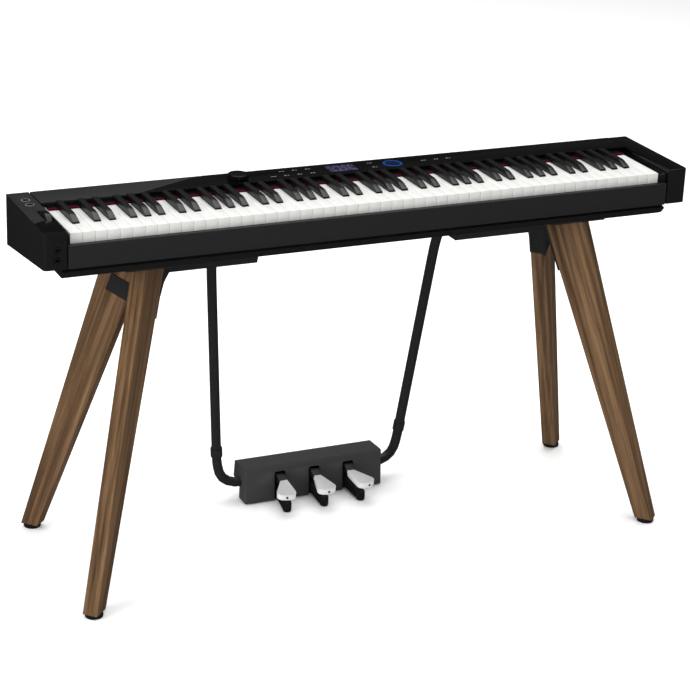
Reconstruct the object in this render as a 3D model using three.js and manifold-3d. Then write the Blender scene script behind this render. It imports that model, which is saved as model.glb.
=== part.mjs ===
// Slim 88-key digital piano on a four-legged wooden stand with a three-pedal unit.
// Millimetres, +Z up, +X towards the treble end, -Y towards the player.
// Origin: on the floor, at the centre of the four feet.
import * as THREE from 'three';
import { mergeVertices } from 'three/addons/utils/BufferGeometryUtils.js';
import Module from 'manifold-3d';

const wasm = await Module();
wasm.setup();

// ---------- driving dimensions ----------
const GAP = 0.4; // clearance between pieces that touch
const INSTRUMENT_Y = -13; // the instrument sits this far forward of the stand's centre

// instrument, measured in its own frame: y = 0 is the middle of its depth
const HALF_WIDTH = 670;
const HALF_DEPTH = 121;
const TOP = 742.8;
const CHEEK_INNER = 626.8;
const CHEEK_REAR_BOTTOM = 643.2;
const CHEEK_FRONT_BOTTOM = 671.2;
const CHEEK_CORNER_R = 9;
const FLOOR_Z = 645; // underside of the lower case
const LEDGE_TOP = 731;
const PANEL_FRONT_Y = 50;
const PANEL_THICKNESS = 4;
const COVER_LEFT = -624.2; // the cover stops short of the cheek, leaving a dark seam
const RAIL_TOP = 715.1;
const RAIL_BOTTOM = 670.3;
const RAIL_BACK_Y = -111.5;

// keyboard
const KEY_LEFT = -617.2;
const WHITE_PITCH = 23.6;
const WHITE_COUNT = 52;
const WHITE_TOP = 734;
const WHITE_BOTTOM = 714.3;
const KEY_FRONT_Y = -108.4;
const HEAD_BACK_Y = -60;
const KEY_GAP = 0.8;
const BLACK_TOP = 745.5;
const BLACK_HALF = 6.8;
const BLACK_SLOT_HALF = 7.3;
const BLACK_FRONT_Y = -57.5;
const BLACK_BACK_Y = 48;
const TAIL_BOTTOM = 716;
const TAIL_TOP_BLACK = 733.4;
const BAR_BOTTOM = 696.5;
const BAR_TOP = 708.5;
const BAR_DEPTH = 6;
const BAR_FRONT_Y = { white_keys_cegb: 84, white_keys_dfa: 94, black_keys: 104 };

// left cheek controls
const WHEEL = { x: -637, y: -26, z: 720, radius: 30, half: 6.5 };
const WHEEL_POCKET = { x0: -645.5, x1: -628.5, y0: -58, y1: 6, floor: 687 };
const BUTTONS = { power_button: 74, function_button: 46 };
const BUTTON_X = -646;
const BUTTON_R = 6.9;
const SOCKET_X = -644.5;
const SOCKETS = {
  headphone_socket: { z: 708, hole: 1.8 },
  line_socket: { z: 689, hole: 3.2 },
};
const SOCKET_R = 6.2;
const SOCKET_DEPTH = 26;

// top panel controls
const KNOB = { x: -220, y: 84, radius: 21, top: 753 };
const DISPLAY = { x0: -28.5, x1: 29.5, y0: 70, y1: 106 };
const RING = { x: 111.5, y: 87, inner: 16, outer: 20 };
const INLET = { x: -60, z: 690, hole: 3.2 };

// stand
const LEG = { footX: 603, topX: 440.6, footY: 203.2, topY: 48.6, thickness: 30.5 };
const LEG_BOTTOM = 8;
const LEG_TOP = 639.6;
const LEG_WIDTH_BOTTOM = 37.3;
const LEG_WIDTH_TOP = 87.7;
const LEG_REF_BOTTOM = 6.5; // heights at which the leg sizes above are taken
const LEG_REF_TOP = 649.5;
const PAD_RADIUS = 17.5;
const PLATE_Z = 640;

// pedal unit, in the instrument's frame
const PEDAL_X = -4;
const BOX = { half: 156.5, wall: 3, floor: 3 };
const BOX_OUTSIDE = [[155, 3], [159.5, 73], [163.5, 80], [220, 77], [225, 40], [191, 32],
  [191, 3]];
const BOX_INSIDE = [[158.4, 0], [162.4, 70.5], [165.2, 76.6], [217.2, 73.9], [221.8, 42.3],
  [188, 34.4], [188, 0]];
const PEDAL_SPREAD = 78;
const PADDLE = { y: 142, z: 46.6, inset: 2, slope: 4.5, thickness: 11.6 };
const ARM = { y: 160, reach: 58, width: 18, splay: THREE.MathUtils.degToRad(6) };
const SLOT_HALF = 12.5;
const SLOT_TOP = 66;
const SHAFT = { y: 203, z: 48, radius: 3 };
const PEDAL_SPLAY = THREE.MathUtils.degToRad(16);
const ROD_RADIUS = 10.5;

// ---------- materials ----------
function finish(color, roughness, metalness) {
  return new THREE.MeshStandardMaterial({ color, roughness, metalness });
}

const gloss = finish(0x101012, 0.12, 0);
const satin = finish(0x202022, 0.45, 0);
const grained = finish(0x363638, 0.7, 0);
const ivory = finish(0xf7f7f4, 0.3, 0);
const ebony = finish(0x2e2f31, 0.6, 0);
const felt = finish(0x46081c, 0.95, 0);
const walnut = finish(0x6b5038, 0.6, 0);
const powderCoat = finish(0x2a2a2b, 0.5, 0.3);
const silver = finish(0xc4c4c4, 0.3, 1);
const steel = finish(0x9a9a9a, 0.35, 1);
const rubber = finish(0x141414, 0.9, 0);
const glass = finish(0x3c3a58, 0.1, 0);
const blueLight = finish(0x1d6fc4, 0.2, 0);
const laminate = finish(0x1f4a2c, 0.6, 0);
const paper = finish(0x1c1c1c, 0.9, 0);

// ---------- solid helpers ----------
function solid(geometry) {
  const bare = geometry.clone();
  bare.deleteAttribute('normal');
  bare.deleteAttribute('uv');
  const merged = mergeVertices(bare, 1e-4);
  const vertProperties = new Float32Array(merged.attributes.position.array);
  const triVerts = new Uint32Array(merged.index.array);
  return new wasm.Manifold(new wasm.Mesh({ numProp: 3, vertProperties, triVerts }));
}

function geometryOf(shape) {
  const mesh = shape.getMesh();
  const geometry = new THREE.BufferGeometry();
  geometry.setAttribute('position', new THREE.BufferAttribute(mesh.vertProperties, 3));
  geometry.setIndex(new THREE.BufferAttribute(mesh.triVerts, 1));
  return geometry;
}

function block(x0, x1, y0, y1, z0, z1) {
  const box = new THREE.BoxGeometry(x1 - x0, y1 - y0, z1 - z0);
  box.translate((x0 + x1) / 2, (y0 + y1) / 2, (z0 + z1) / 2);
  return solid(box);
}

// A box whose corner (i, j, k), each -1 or 1, is placed by a function.
function placedBox(place) {
  const box = new THREE.BoxGeometry(2, 2, 2);
  const corners = box.attributes.position;
  for (let n = 0; n < corners.count; n += 1) {
    const [x, y, z] = place(corners.getX(n), corners.getY(n), corners.getZ(n));
    corners.setXYZ(n, x, y, z);
  }
  return solid(box);
}

function outline(points) {
  return new THREE.Shape(points.map(([u, v]) => new THREE.Vector2(u, v)));
}

function extrude(shape, depth) {
  return new THREE.ExtrudeGeometry(shape, { depth, bevelEnabled: false, curveSegments: 8 });
}

function prismZ(shape, z0, z1) {
  return solid(extrude(shape, z1 - z0).translate(0, 0, z0));
}

// The outline lies in (y, z) and runs along x.
function prismX(shape, x0, x1) {
  const turn = new THREE.Matrix4().makeBasis(
    new THREE.Vector3(0, 1, 0),
    new THREE.Vector3(0, 0, 1),
    new THREE.Vector3(1, 0, 0),
  );
  return solid(extrude(shape, x1 - x0).applyMatrix4(turn).translate(x0, 0, 0));
}

// The outline lies in (x, z) and runs along y.
function prismY(shape, y0, y1) {
  const turn = new THREE.Matrix4().makeBasis(
    new THREE.Vector3(1, 0, 0),
    new THREE.Vector3(0, 0, 1),
    new THREE.Vector3(0, -1, 0),
  );
  return solid(extrude(shape, y1 - y0).applyMatrix4(turn).translate(0, y1, 0));
}

// A turned shape: profile points are (radius, height) from one end of the axis to the other.
function turned(profile, segments) {
  const points = profile.map(([radius, height]) => new THREE.Vector2(radius, height));
  return new THREE.LatheGeometry(points, segments);
}

function turnedZ(profile, x, y, segments = 32) {
  return solid(turned(profile, segments).rotateX(Math.PI / 2).translate(x, y, 0));
}

// Heights in the profile are y positions.
function turnedY(profile, x, z, segments = 24) {
  return solid(turned(profile, segments).translate(x, 0, z));
}

// Heights in the profile are x positions.
function turnedX(profile, y, z, segments = 32) {
  return solid(turned(profile, segments).rotateZ(-Math.PI / 2).translate(0, y, z));
}

function cylinder(radius, low, high) {
  return [[0, low], [radius, low], [radius, high], [0, high]];
}

// ---------- scene ----------
const piano = new THREE.Group();
const instrument = new THREE.Group();
const stand = new THREE.Group();
instrument.position.y = INSTRUMENT_Y;
piano.add(instrument, stand);

function add(group, name, shape, material) {
  const mesh = new THREE.Mesh(geometryOf(shape), material);
  mesh.name = name;
  group.add(mesh);
}

// ---------- case ----------
function cheekBottom(y) {
  const run = (HALF_DEPTH - y) / (2 * HALF_DEPTH);
  return CHEEK_REAR_BOTTOM + run * (CHEEK_FRONT_BOTTOM - CHEEK_REAR_BOTTOM);
}

// Right cheek block with its rounded front corner; the left one mirrors it.
function cheekBlock() {
  const side = outline([
    [-HALF_DEPTH, CHEEK_FRONT_BOTTOM],
    [HALF_DEPTH, CHEEK_REAR_BOTTOM],
    [HALF_DEPTH, TOP],
    [-HALF_DEPTH, TOP],
  ]);
  const plan = new THREE.Shape();
  plan.moveTo(CHEEK_INNER, -HALF_DEPTH);
  plan.lineTo(HALF_WIDTH - CHEEK_CORNER_R, -HALF_DEPTH);
  plan.quadraticCurveTo(HALF_WIDTH, -HALF_DEPTH, HALF_WIDTH, CHEEK_CORNER_R - HALF_DEPTH);
  plan.lineTo(HALF_WIDTH, HALF_DEPTH);
  plan.lineTo(CHEEK_INNER, HALF_DEPTH);
  return prismX(side, CHEEK_INNER, HALF_WIDTH).intersect(prismZ(plan, FLOOR_Z - 10, TOP + 1));
}

// Block beside the last key, part of each cheek's moulding.
function ledge(x0, x1) {
  return block(x0, x1, KEY_FRONT_Y - 0.6, PANEL_FRONT_Y - 1, 684, LEDGE_TOP);
}

function leftCheek() {
  let shape = cheekBlock().mirror([1, 0, 0]);
  shape = shape.add(ledge(-CHEEK_INNER - 1, KEY_LEFT - 1.4));
  const { x0, x1, y0, y1, floor } = WHEEL_POCKET;
  shape = shape.subtract(block(x0, x1, y0, y1, floor, TOP + 1));
  for (const y of Object.values(BUTTONS)) {
    const pocket = cylinder(BUTTON_R + 0.3, TOP - 9, TOP + 1);
    shape = shape.subtract(turnedZ(pocket, BUTTON_X, y, 24));
  }
  for (const { z } of Object.values(SOCKETS)) {
    const bore = cylinder(SOCKET_R + GAP, -HALF_DEPTH - 1, SOCKET_DEPTH - HALF_DEPTH + GAP);
    shape = shape.subtract(turnedY(bore, SOCKET_X, z));
  }
  return shape;
}

function rightCheek() {
  const keysEnd = KEY_LEFT + WHITE_COUNT * WHITE_PITCH;
  return cheekBlock().add(ledge(keysEnd + 1.4, CHEEK_INNER + 1));
}

// Tray under the keyboard; its ends reach a little way below the cheeks.
function lowerCase() {
  const rear = HALF_DEPTH - 4.4;
  const rim = 667.5;
  const section = outline([
    [-103.5, rim],
    [-103.5, 662],
    [-110, 662],
    [-108.5, 650.5],
    [-95, FLOOR_Z],
    [rear, FLOOR_Z],
    [rear, rim],
  ]);
  const front = outline([
    [-630, FLOOR_Z],
    [621, FLOOR_Z],
    [631, 657.5],
    [631, rim],
    [-632, rim],
    [-632, FLOOR_Z + 2],
  ]);
  const tray = prismX(section, -632, 632).intersect(prismY(front, -130, 130));
  const above = outline([
    [-130, cheekBottom(-130) - GAP],
    [130, cheekBottom(130) - GAP],
    [130, TOP],
    [-130, TOP],
  ]);
  const start = CHEEK_INNER - GAP;
  const keepClear = prismX(above, start, 660).add(prismX(above, -660, -start));
  const hollow = block(-622, 622, -100.5, rear - 3.6, FLOOR_Z + 4, rim + 10);
  return tray.subtract(keepClear).subtract(hollow);
}

function rearPanel() {
  const reach = CHEEK_INNER - GAP;
  const low = FLOOR_Z;
  const high = TOP - PANEL_THICKNESS - GAP;
  const panel = block(-reach, reach, HALF_DEPTH - 4, HALF_DEPTH, low, high);
  const hole = cylinder(5.2, HALF_DEPTH - 10, HALF_DEPTH + 1);
  return panel.subtract(turnedY(hole, INLET.x, INLET.z));
}

// The grained cover ends in a slanted, softly curved edge; the glossy panel starts there.
function coverOutline() {
  const shape = new THREE.Shape();
  shape.moveTo(COVER_LEFT, PANEL_FRONT_Y);
  shape.lineTo(-455, PANEL_FRONT_Y);
  shape.quadraticCurveTo(-437, PANEL_FRONT_Y, -420, 58.5);
  shape.lineTo(-318, 107.5);
  shape.quadraticCurveTo(-296, 118, -284, HALF_DEPTH);
  shape.lineTo(COVER_LEFT, HALF_DEPTH);
  return shape;
}

const SKIRT_BOTTOM = 737;
const SKIRT_DEPTH = 3.4;
const PANEL_UNDER = TOP - PANEL_THICKNESS;

function topCover() {
  const plate = prismZ(coverOutline(), PANEL_UNDER, TOP);
  const skirtBack = PANEL_FRONT_Y + SKIRT_DEPTH;
  return plate.add(
    block(COVER_LEFT, -455, PANEL_FRONT_Y, skirtBack, SKIRT_BOTTOM, PANEL_UNDER + 1),
  );
}

function controlPanel() {
  const start = -454.4;
  const end = CHEEK_INNER - GAP;
  const skirtBack = PANEL_FRONT_Y + SKIRT_DEPTH;
  const plate = block(start, end, PANEL_FRONT_Y, HALF_DEPTH, PANEL_UNDER, TOP);
  const skirt = block(start, end, PANEL_FRONT_Y, skirtBack, SKIRT_BOTTOM, PANEL_UNDER + 1);
  const cover = prismZ(coverOutline(), PANEL_UNDER - GAP, TOP + 1).translate([0.2, -0.4, 0]);
  const corner = block(-700, -283.6, 118, HALF_DEPTH + 1, PANEL_UNDER - 1, TOP + 1);
  const { x0, x1, y0, y1 } = DISPLAY;
  const window = block(x0 - GAP, x1 + GAP, y0 - GAP, y1 + GAP, TOP - 1.4, TOP + 1);
  const groove = ringShape(RING.inner - GAP, RING.outer + GAP, TOP - 1.4, TOP + 1);
  const shaftHole = turnedZ(cylinder(4, PANEL_UNDER - 1, TOP + 1), KNOB.x, KNOB.y, 20);
  return plate.add(skirt).subtract(cover).subtract(corner).subtract(window).subtract(groove)
    .subtract(shaftHole);
}

function ringShape(inner, outer, low, high) {
  const profile = [[inner, low], [outer, low], [outer, high], [inner, high], [inner, low]];
  return turnedZ(profile, RING.x, RING.y, 40);
}

function frontRail() {
  return block(-624.4, 624.4, -HALF_DEPTH, RAIL_BACK_Y, RAIL_BOTTOM, RAIL_TOP);
}

// ---------- inside the case ----------
function keyFrame() {
  const slab = block(-604, 604, -98, 108, 686.5, 694.5);
  const foot = FLOOR_Z + 4 + GAP;
  return slab.add(block(-604, 604, -98, -92, foot, 687)).add(block(-604, 604, 102, 108, foot, 687));
}

function mainBoard() {
  let board = block(-150, 150, -60, 60, 660, 661.6);
  for (const x of [-140, 140]) {
    for (const y of [-50, 50]) {
      board = board.add(turnedZ(cylinder(4, FLOOR_Z + 4 + GAP, 660.5), x, y, 12));
    }
  }
  return board;
}

function speaker(x) {
  const base = FLOOR_Z + 4 + GAP;
  const profile = [
    [0, base + 8],
    [12, base + 8],
    [46, base + 1.5],
    [46, base],
    [52, base],
    [52, base + 3],
    [47, base + 4],
    [24, base + 17],
    [24, base + 30],
    [0, base + 30],
  ];
  return turnedZ(profile, x, 5, 28);
}

function powerInlet() {
  const { hole, x, z } = INLET;
  const back = HALF_DEPTH;
  const profile = [[0, back - 12.5], [4.8, back - 12.5], [4.8, back], [hole, back], [hole, back - 10],
    [0, back - 10]];
  return turnedY(profile, x, z, 20);
}

function socket({ z, hole }) {
  const front = -HALF_DEPTH - 0.4;
  const back = SOCKET_DEPTH - HALF_DEPTH;
  const profile = [[0, back - 2], [hole, back - 2], [hole, front], [SOCKET_R, front],
    [SOCKET_R, back], [0, back]];
  return turnedY(profile, SOCKET_X, z);
}

// ---------- controls ----------
function pitchWheel() {
  const { half, radius } = WHEEL;
  const stub = half + 1.7;
  const profile = [[0, -stub], [4, -stub], [4, -half], [radius - 1.5, -half],
    [radius, -half + 1.5], [radius, half - 1.5], [radius - 1.5, half], [4, half], [4, stub],
    [0, stub]];
  return turnedX(profile, WHEEL.y, WHEEL.z, 40).translate([WHEEL.x, 0, 0]);
}

function button(y) {
  return turnedZ(cylinder(BUTTON_R, TOP - 7.2, TOP + 0.6), BUTTON_X, y, 24);
}

function volumeKnob() {
  const low = TOP + 0.8;
  const { radius, top } = KNOB;
  const profile = [[0, 735.2], [3.4, 735.2], [3.4, low], [radius - 0.6, low], [radius, low + 0.8],
    [radius - 0.4, top - 1.6], [radius - 2, top], [0, top]];
  return turnedZ(profile, KNOB.x, KNOB.y, 40);
}

// ---------- keyboard ----------
// Whites are numbered 0..51 from A0; a black key is named by the white on its left.
const BLACK_SHIFT = { C: -2.55, D: 2.55, F: -3.67, G: 0, A: 3.67 };
const NOTES = ['A', 'B', 'C', 'D', 'E', 'F', 'G'];

function note(white) {
  return NOTES[white % 7];
}

function whiteLeft(white) {
  return KEY_LEFT + white * WHITE_PITCH;
}

function hasBlackAfter(white) {
  return note(white) in BLACK_SHIFT && white < WHITE_COUNT - 1;
}

function blackCentre(white) {
  return whiteLeft(white + 1) + BLACK_SHIFT[note(white)];
}

function tailSpan(white) {
  let left = whiteLeft(white) + KEY_GAP / 2;
  let right = whiteLeft(white + 1) - KEY_GAP / 2;
  if (white > 0 && hasBlackAfter(white - 1)) {
    left = Math.max(left, blackCentre(white - 1) + BLACK_SLOT_HALF);
  }
  if (hasBlackAfter(white)) {
    right = Math.min(right, blackCentre(white) - BLACK_SLOT_HALF);
  }
  return [left, right];
}

function whiteKey(white, barFront) {
  const left = whiteLeft(white) + KEY_GAP / 2;
  const right = whiteLeft(white + 1) - KEY_GAP / 2;
  const [tailLeft, tailRight] = tailSpan(white);
  const barBack = barFront + BAR_DEPTH;
  const head = block(left, right, KEY_FRONT_Y, HEAD_BACK_Y, WHITE_BOTTOM, WHITE_TOP);
  const tail = block(tailLeft, tailRight, HEAD_BACK_Y - 1, barBack, TAIL_BOTTOM, WHITE_TOP);
  const post = block(tailLeft, tailRight, barFront, barBack, BAR_TOP - 1, TAIL_BOTTOM + 1);
  return head.add(tail).add(post);
}

function blackKey(white, barFront) {
  const x = blackCentre(white);
  const barBack = barFront + BAR_DEPTH;
  const side = new THREE.Shape();
  side.moveTo(BLACK_FRONT_Y, TAIL_BOTTOM);
  side.lineTo(BLACK_FRONT_Y, WHITE_TOP + 1.5);
  side.quadraticCurveTo(BLACK_FRONT_Y + 1, WHITE_TOP + 8, BLACK_FRONT_Y + 28, BLACK_TOP);
  side.lineTo(BLACK_BACK_Y, BLACK_TOP);
  side.lineTo(BLACK_BACK_Y, TAIL_BOTTOM);
  const body = solid(
    new THREE.ExtrudeGeometry(side, { depth: 2 * BLACK_HALF, bevelEnabled: false, curveSegments: 4 })
      .applyMatrix4(new THREE.Matrix4().makeBasis(
        new THREE.Vector3(0, 1, 0),
        new THREE.Vector3(0, 0, 1),
        new THREE.Vector3(1, 0, 0),
      ))
      .translate(x - BLACK_HALF, 0, 0),
  );
  const left = x - BLACK_HALF + 0.4;
  const right = x + BLACK_HALF - 0.4;
  const tail = block(left, right, BLACK_BACK_Y - 1, barBack, TAIL_BOTTOM, TAIL_TOP_BLACK);
  const post = block(left, right, barFront, barBack, BAR_TOP - 1, TAIL_BOTTOM + 1);
  return body.add(tail).add(post);
}

function comb(keys, barFront, makeKey, spanOf) {
  const first = spanOf(keys[0])[0];
  const last = spanOf(keys[keys.length - 1])[1];
  const barBack = barFront + BAR_DEPTH;
  let shape = block(first, last, barFront, barBack, BAR_BOTTOM, BAR_TOP);
  for (const key of keys) {
    shape = shape.add(makeKey(key, barFront));
  }
  return shape;
}

function blackSpan(white) {
  return [blackCentre(white) - BLACK_HALF + 0.4, blackCentre(white) + BLACK_HALF - 0.4];
}

function addKeyboard() {
  for (let octave = 1; octave <= 7; octave += 1) {
    const c = 2 + 7 * (octave - 1);
    const cegb = [c, c + 2, c + 4, c + 6];
    const dfa = [c + 1, c + 3, c + 5];
    const blacks = [c, c + 1, c + 3, c + 4, c + 5];
    if (octave === 1) {
      cegb.unshift(0);
      dfa.unshift(1);
      blacks.unshift(0);
    }
    if (octave === 7) {
      dfa.push(WHITE_COUNT - 1);
    }
    const fronts = BAR_FRONT_Y;
    const whites = { white_keys_cegb: cegb, white_keys_dfa: dfa };
    for (const [name, keys] of Object.entries(whites)) {
      add(instrument, `${name}_${octave}`, comb(keys, fronts[name], whiteKey, tailSpan), ivory);
    }
    const black = comb(blacks, fronts.black_keys, blackKey, blackSpan);
    add(instrument, `black_keys_${octave}`, black, ebony);
  }
}

// Felt laid along the back of the white keys, notched round every black key.
function feltStrip() {
  const low = WHITE_TOP + 0.9;
  const high = SKIRT_BOTTOM - GAP;
  const keysEnd = whiteLeft(WHITE_COUNT);
  let strip = block(KEY_LEFT + 1, keysEnd - 1, 24.5, 57, low, high);
  for (let white = 0; white < WHITE_COUNT; white += 1) {
    if (hasBlackAfter(white)) {
      const x = blackCentre(white);
      strip = strip.subtract(block(x - 7.3, x + 7.3, 20, BLACK_BACK_Y + 1.5, low - 1, high + 1));
    }
  }
  return strip;
}

// ---------- stand ----------
function legRun(z) {
  return (z - LEG_REF_BOTTOM) / (LEG_REF_TOP - LEG_REF_BOTTOM);
}

function legWidth(z) {
  return LEG_WIDTH_BOTTOM + legRun(z) * (LEG_WIDTH_TOP - LEG_WIDTH_BOTTOM);
}

// A point of the leg at height z: along runs outwards on the diagonal from the leg's
// middle, across runs at right angles to it, towards the other leg of the same side.
function legPoint(sideX, sideY, along, across, z) {
  const run = legRun(z);
  const half = Math.SQRT1_2;
  const x = LEG.footX + run * (LEG.topX - LEG.footX) + (along + across) * half;
  const y = LEG.footY + run * (LEG.topY - LEG.footY) + (along - across) * half;
  return [sideX * x, sideY * y, z];
}

function mirrored(sideX, sideY, i) {
  return sideX * sideY > 0 ? i : -i;
}

function leg(sideX, sideY) {
  return placedBox((i, j, k) => {
    const z = k > 0 ? LEG_TOP : LEG_BOTTOM;
    const along = i * legWidth(z) / 2;
    const across = -mirrored(sideX, sideY, j) * LEG.thickness / 2;
    return legPoint(sideX, sideY, along, across, z);
  });
}

// Angle iron round the inner edge of a leg: a long flange on the narrow inner face, and a
// short tab on the wide face that looks at the other leg.
function legAngle(sideX, sideY) {
  const thick = 2.6;
  const tabWidth = 55;
  const faceOut = LEG.thickness / 2 + GAP;
  const narrow = placedBox((i, j, k) => {
    const z = k > 0 ? PLATE_Z + 1 : 526;
    const along = -legWidth(z) / 2 - GAP - (i > 0 ? 0 : thick);
    const across = mirrored(sideX, sideY, j) > 0 ? -faceOut : faceOut + thick;
    return legPoint(sideX, sideY, along, across, z);
  });
  const tab = placedBox((i, j, k) => {
    const inner = i < 0;
    const z = k > 0 ? (inner ? 561 : 580) : (inner ? 528 : 547);
    const edge = -legWidth(z) / 2 - GAP - 0.5;
    const along = inner ? edge : edge + tabWidth;
    const across = mirrored(sideX, sideY, j) > 0 ? faceOut : faceOut + thick;
    return legPoint(sideX, sideY, along, across, z);
  });
  return narrow.add(tab);
}

// One stretch of the arm or gusset: [x, half-width, underside] at its two ends.
function armStretch(side, inner, outer) {
  return placedBox((i, j, k) => {
    const [x, reach, bottom] = i > 0 ? outer : inner;
    const slant = i < 0 && k > 0 && x < 300 ? 8 : 0;
    return [side * (x - slant), j * reach * side, k > 0 ? PLATE_Z + 1 : bottom];
  });
}

// Steel bracket of one side: top plate, two leg angles and an arm along the case.
function bracket(side) {
  let shape = placedBox((i, j, k) => {
    const x = i > 0 ? 506 : 384;
    return [side * x, j * 101 * side, k > 0 ? FLOOR_Z - GAP : PLATE_Z];
  });
  shape = shape.add(armStretch(side, [213, 20, 600], [393, 20, 600]));
  shape = shape.add(armStretch(side, [392, 20, 600], [404, 24, 582]));
  shape = shape.add(armStretch(side, [403, 23.5, 584], [416, 31, 548]));
  for (const sideY of [-1, 1]) {
    shape = shape.add(legAngle(side, sideY));
  }
  for (const sideY of [-1, 1]) {
    shape = shape.subtract(legClearance(side, sideY));
  }
  return shape;
}

// The leg grown by the clearance on every side.
function legClearance(sideX, sideY) {
  return placedBox((i, j, k) => {
    const z = k > 0 ? LEG_TOP + 0.3 : LEG_BOTTOM;
    const along = i * (legWidth(z) / 2 + GAP);
    const across = -mirrored(sideX, sideY, j) * (LEG.thickness / 2 + GAP - 0.05);
    return legPoint(sideX, sideY, along, across, z);
  });
}

function footPad(sideX, sideY) {
  const top = LEG_BOTTOM - GAP;
  const profile = [[0, 0], [PAD_RADIUS - 1.5, 0], [PAD_RADIUS, 1.5], [PAD_RADIUS, top], [0, top]];
  return turnedZ(profile, sideX * LEG.footX, sideY * LEG.footY, 28);
}

// ---------- pedal unit ----------
const PEDALS = { pedal_soft: -1, pedal_middle: 0, pedal_sustain: 1 };

function pedalX(place) {
  return PEDAL_X + place * PEDAL_SPREAD;
}

function pedalBox() {
  let shape = prismX(outline(BOX_OUTSIDE), PEDAL_X - BOX.half, PEDAL_X + BOX.half);
  const inside = BOX.half - BOX.wall;
  shape = shape.subtract(prismX(outline(BOX_INSIDE), PEDAL_X - inside, PEDAL_X + inside));
  for (const place of Object.values(PEDALS)) {
    const x = pedalX(place);
    const slot = new THREE.Shape();
    slot.moveTo(x - SLOT_HALF, BOX.floor - 1);
    slot.lineTo(x + SLOT_HALF, BOX.floor - 1);
    slot.lineTo(x + SLOT_HALF, SLOT_TOP - 5);
    slot.quadraticCurveTo(x + SLOT_HALF, SLOT_TOP, x + SLOT_HALF - 5, SLOT_TOP);
    slot.lineTo(x - SLOT_HALF + 5, SLOT_TOP);
    slot.quadraticCurveTo(x - SLOT_HALF, SLOT_TOP, x - SLOT_HALF, SLOT_TOP - 5);
    shape = shape.subtract(prismY(slot, 150, 166));
  }
  return shape;
}

// Side view of an arm: from the floor plate down to the foot of its post.
function armSide() {
  const post = ARM.y - ARM.reach;
  return outline([
    [ARM.y + 12, BOX.floor],
    [ARM.y - 12, 9],
    [post + 6, 5],
    [post, 5],
    [post, 20],
    [ARM.y + 12, 34],
  ]);
}

// Floor plate with three arms; each arm ends in a post that stands on the floor.
function pedalBase() {
  const inside = BOX.half - BOX.wall - GAP;
  const low = BOX.floor;
  let shape = block(PEDAL_X - inside, PEDAL_X + inside, 162.5, 187.5, low, low + 4);
  const half = ARM.width / 2;
  const postProfile = [[0, 0], [half - 3, 0], [half - 0.8, 1.2], [half, 3.6], [half, 19],
    [half - 2, 22], [0, 22]];
  for (const place of Object.values(PEDALS)) {
    const x = pedalX(place);
    const lean = [0, 0, THREE.MathUtils.radToDeg(ARM.splay) * place];
    const arm = prismX(armSide(), -half, half)
      .add(turnedZ(postProfile, 0, ARM.y - ARM.reach, 24))
      .translate([0, -ARM.y, 0])
      .rotate(lean)
      .translate([x, ARM.y, 0]);
    shape = shape.add(arm);
  }
  return shape;
}

function paddlePlan() {
  const plan = new THREE.Shape();
  plan.moveTo(-6, 7);
  plan.lineTo(6, 7);
  plan.quadraticCurveTo(7, 0, 9.5, -8);
  plan.lineTo(19.5, -46);
  plan.quadraticCurveTo(21.8, -57, 13, -61.5);
  plan.quadraticCurveTo(0, -66.5, -13, -61.5);
  plan.quadraticCurveTo(-21.8, -57, -19.5, -46);
  plan.lineTo(-9.5, -8);
  plan.quadraticCurveTo(-7, 0, -6, 7);
  return plan;
}

// Lever inside the box, the hub in its slot, and the paddle; outer paddles turn outwards.
function pedal(place) {
  const x = pedalX(place);
  const { y, z, inset, slope, thickness } = PADDLE;
  const low = SHAFT.z - 4;
  const side = outline([
    [y - 4, low],
    [SHAFT.y + 8, low],
    [SHAFT.y + 8, SHAFT.z + 6],
    [172, 60],
    [156, 60],
    [y, 53],
    [y - 4, 50],
  ]);
  const lever = prismX(side, x - 9, x + 9);
  const paddle = extrude(paddlePlan(), thickness)
    .translate(0, 0, -thickness / 2)
    .rotateX(THREE.MathUtils.degToRad(slope))
    .rotateZ(place * PEDAL_SPLAY)
    .translate(x - place * inset, y, z);
  const bore = turnedX(cylinder(SHAFT.radius + 0.5, -12, 12), SHAFT.y, SHAFT.z, 16);
  return lever.add(solid(paddle)).subtract(bore.translate([x, 0, 0]));
}

function pedalShaft() {
  const reach = BOX.half - BOX.wall - GAP;
  return turnedX(cylinder(SHAFT.radius, -reach, reach), SHAFT.y, SHAFT.z, 16)
    .translate([PEDAL_X, 0, 0]);
}

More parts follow.
